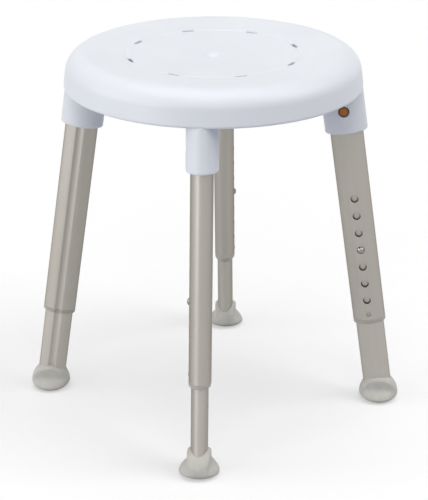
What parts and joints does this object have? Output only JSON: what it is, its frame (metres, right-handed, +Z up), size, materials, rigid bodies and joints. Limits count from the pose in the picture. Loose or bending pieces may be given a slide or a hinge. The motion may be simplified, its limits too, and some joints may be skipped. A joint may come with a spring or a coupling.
{
  "type": "shower stool",
  "caption": "Round moulded shower stool with a dished, slotted seat on leaning oval aluminium legs that telescope on snap pins and pull off at release buttons.",
  "frame": {"origin": "on the floor under the middle of the seat", "axes": "+Z up; the legs stand along +X (right), +Y (rear), -X (left) and -Y (front)"},
  "size_m": [0.5214, 0.5214, 0.5025],
  "materials": {
    "seat_plastic": "satin moulded polypropylene, pale cool white",
    "outer_tube_metal": "satin anodised, warm grey",
    "inner_tube_metal": "satin anodised, warm grey",
    "bush_plastic": "matte moulded plastic, warm grey",
    "button_plastic": "satin orange plastic",
    "pin_steel": "bright stainless steel",
    "spring_steel": "rolled spring steel strip",
    "foot_rubber": "matte grey rubber"
  },
  "bodies": {
    "seat": {"seat": "seat_plastic"},
    "leg_right": {"outer_tube_right": "outer_tube_metal", "guide_bush_right": "bush_plastic", "release_spring_right": "spring_steel"},
    "release_right": {"release_button_right": "button_plastic"},
    "lower_leg_right": {"inner_tube_right": "inner_tube_metal", "slide_cap_right": "bush_plastic", "pin_spring_right": "spring_steel", "rubber_foot_right": "foot_rubber"},
    "pin_right": {"snap_pin_right": "pin_steel"},
    "leg_rear": {"outer_tube_rear": "outer_tube_metal", "guide_bush_rear": "bush_plastic", "release_spring_rear": "spring_steel"},
    "release_rear": {"release_button_rear": "button_plastic"},
    "lower_leg_rear": {"inner_tube_rear": "inner_tube_metal", "slide_cap_rear": "bush_plastic", "pin_spring_rear": "spring_steel", "rubber_foot_rear": "foot_rubber"},
    "pin_rear": {"snap_pin_rear": "pin_steel"},
    "leg_left": {"outer_tube_left": "outer_tube_metal", "guide_bush_left": "bush_plastic", "release_spring_left": "spring_steel"},
    "release_left": {"release_button_left": "button_plastic"},
    "lower_leg_left": {"inner_tube_left": "inner_tube_metal", "slide_cap_left": "bush_plastic", "pin_spring_left": "spring_steel", "rubber_foot_left": "foot_rubber"},
    "pin_left": {"snap_pin_left": "pin_steel"},
    "leg_front": {"outer_tube_front": "outer_tube_metal", "guide_bush_front": "bush_plastic", "release_spring_front": "spring_steel"},
    "release_front": {"release_button_front": "button_plastic"},
    "lower_leg_front": {"inner_tube_front": "inner_tube_metal", "slide_cap_front": "bush_plastic", "pin_spring_front": "spring_steel", "rubber_foot_front": "foot_rubber"},
    "pin_front": {"snap_pin_front": "pin_steel"}
  },
  "joints": [
    {"name": "leg_pull_right", "type": "slide", "parent": "seat", "child": "leg_right", "axis": [0.1444, 0, -0.9895], "range_m": [0, 0.24]},
    {"name": "leg_height_right", "type": "slide", "parent": "leg_right", "child": "lower_leg_right", "axis": [0.1444, 0, -0.9895], "range_m": [-0.075, 0.075]},
    {"name": "pin_press_right", "type": "slide", "parent": "lower_leg_right", "child": "pin_right", "axis": [0, 1, 0], "range_m": [0, 0.005], "stiffness_N_per_m": 1200, "springref_m": -0.01, "deforming": ["pin_spring_right"]},
    {"name": "release_press_right", "type": "slide", "parent": "leg_right", "child": "release_right", "axis": [0, 1, 0], "range_m": [0, 0.0052], "stiffness_N_per_m": 800, "springref_m": -0.01, "deforming": ["release_spring_right"]},
    {"name": "leg_pull_rear", "type": "slide", "parent": "seat", "child": "leg_rear", "axis": [0, 0.1444, -0.9895], "range_m": [0, 0.24]},
    {"name": "leg_height_rear", "type": "slide", "parent": "leg_rear", "child": "lower_leg_rear", "axis": [0, 0.1444, -0.9895], "range_m": [-0.075, 0.075]},
    {"name": "pin_press_rear", "type": "slide", "parent": "lower_leg_rear", "child": "pin_rear", "axis": [-1, 0, 0], "range_m": [0, 0.005], "stiffness_N_per_m": 1200, "springref_m": -0.01, "deforming": ["pin_spring_rear"]},
    {"name": "release_press_rear", "type": "slide", "parent": "leg_rear", "child": "release_rear", "axis": [-1, 0, 0], "range_m": [0, 0.0052], "stiffness_N_per_m": 800, "springref_m": -0.01, "deforming": ["release_spring_rear"]},
    {"name": "leg_pull_left", "type": "slide", "parent": "seat", "child": "leg_left", "axis": [-0.1444, 0, -0.9895], "range_m": [0, 0.24]},
    {"name": "leg_height_left", "type": "slide", "parent": "leg_left", "child": "lower_leg_left", "axis": [-0.1444, 0, -0.9895], "range_m": [-0.075, 0.075]},
    {"name": "pin_press_left", "type": "slide", "parent": "lower_leg_left", "child": "pin_left", "axis": [0, -1, 0], "range_m": [0, 0.005], "stiffness_N_per_m": 1200, "springref_m": -0.01, "deforming": ["pin_spring_left"]},
    {"name": "release_press_left", "type": "slide", "parent": "leg_left", "child": "release_left", "axis": [0, -1, 0], "range_m": [0, 0.0052], "stiffness_N_per_m": 800, "springref_m": -0.01, "deforming": ["release_spring_left"]},
    {"name": "leg_pull_front", "type": "slide", "parent": "seat", "child": "leg_front", "axis": [0, -0.1444, -0.9895], "range_m": [0, 0.24]},
    {"name": "leg_height_front", "type": "slide", "parent": "leg_front", "child": "lower_leg_front", "axis": [0, -0.1444, -0.9895], "range_m": [-0.075, 0.075]},
    {"name": "pin_press_front", "type": "slide", "parent": "lower_leg_front", "child": "pin_front", "axis": [1, 0, 0], "range_m": [0, 0.005], "stiffness_N_per_m": 1200, "springref_m": -0.01, "deforming": ["pin_spring_front"]},
    {"name": "release_press_front", "type": "slide", "parent": "leg_front", "child": "release_front", "axis": [1, 0, 0], "range_m": [0, 0.0052], "stiffness_N_per_m": 800, "springref_m": -0.01, "deforming": ["release_spring_front"]}
  ]
}
